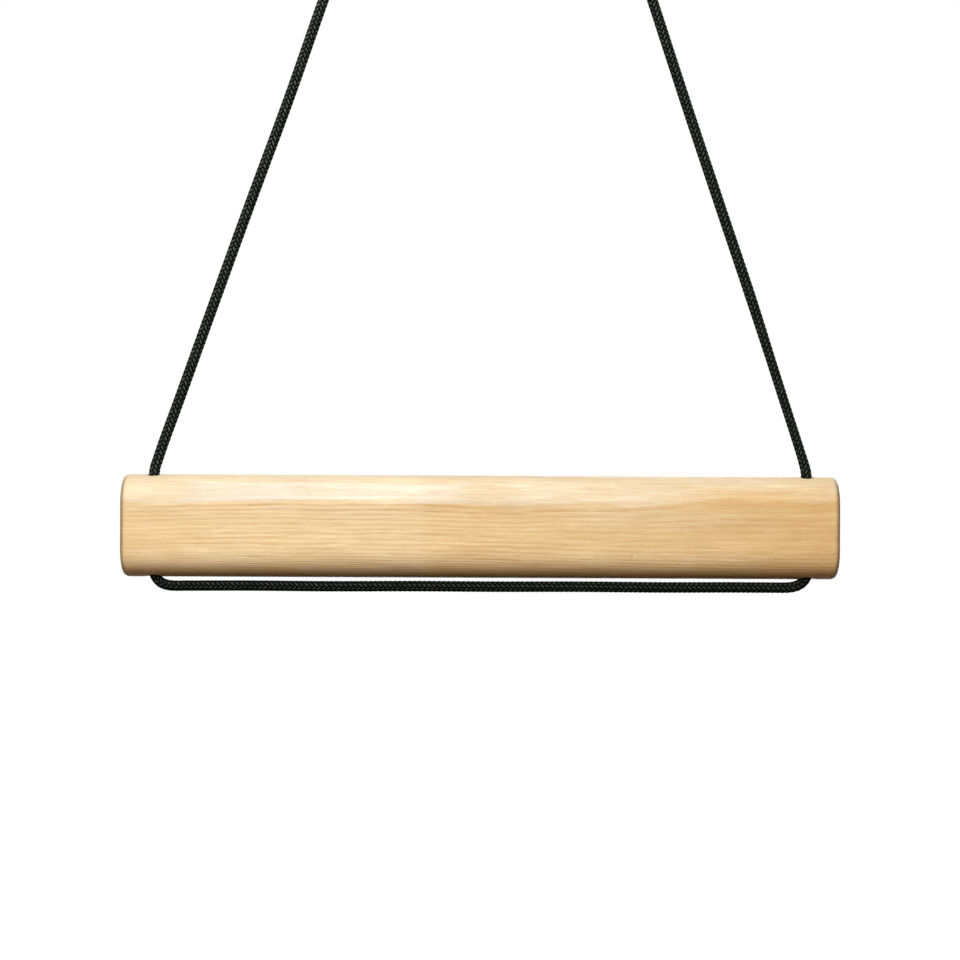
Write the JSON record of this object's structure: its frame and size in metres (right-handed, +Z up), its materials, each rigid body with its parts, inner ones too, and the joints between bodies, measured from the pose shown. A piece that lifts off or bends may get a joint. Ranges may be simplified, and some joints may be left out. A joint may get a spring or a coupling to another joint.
{
  "type": "portable hangboard",
  "caption": "Rounded wooden bar with a finger rail in its back, hung level on one black cord that passes through its ends and under it to two tied loops.",
  "frame": {"origin": "level with the inner tops of the two hanging loops, straight above the middle of the bar, in the upright plane that the cord hangs in", "axes": "+Z up, +X along the bar to the right of the pictured front, which faces -Y; the finger rail opens to +Y"},
  "size_m": [0.43, 0.036, 0.4664],
  "materials": {
    "ash_wood": "sanded and lightly oiled, satin",
    "black_cord": "braided, dull"
  },
  "bodies": {
    "hung_cord": {"left_leg": "black_cord", "right_leg": "black_cord", "left_knot": "black_cord", "right_knot": "black_cord", "left_loop": "black_cord", "right_loop": "black_cord", "left_tail": "black_cord", "right_tail": "black_cord"},
    "bar": {"bar": "ash_wood", "cord_under_bar": "black_cord"}
  },
  "joints": [
    {"name": "bar_roll", "type": "hinge", "parent": "hung_cord", "child": "bar", "pos_m": [0, 0, -0.3867], "axis": [1, 0, 0], "range_deg": [-90, 90]}
  ]
}
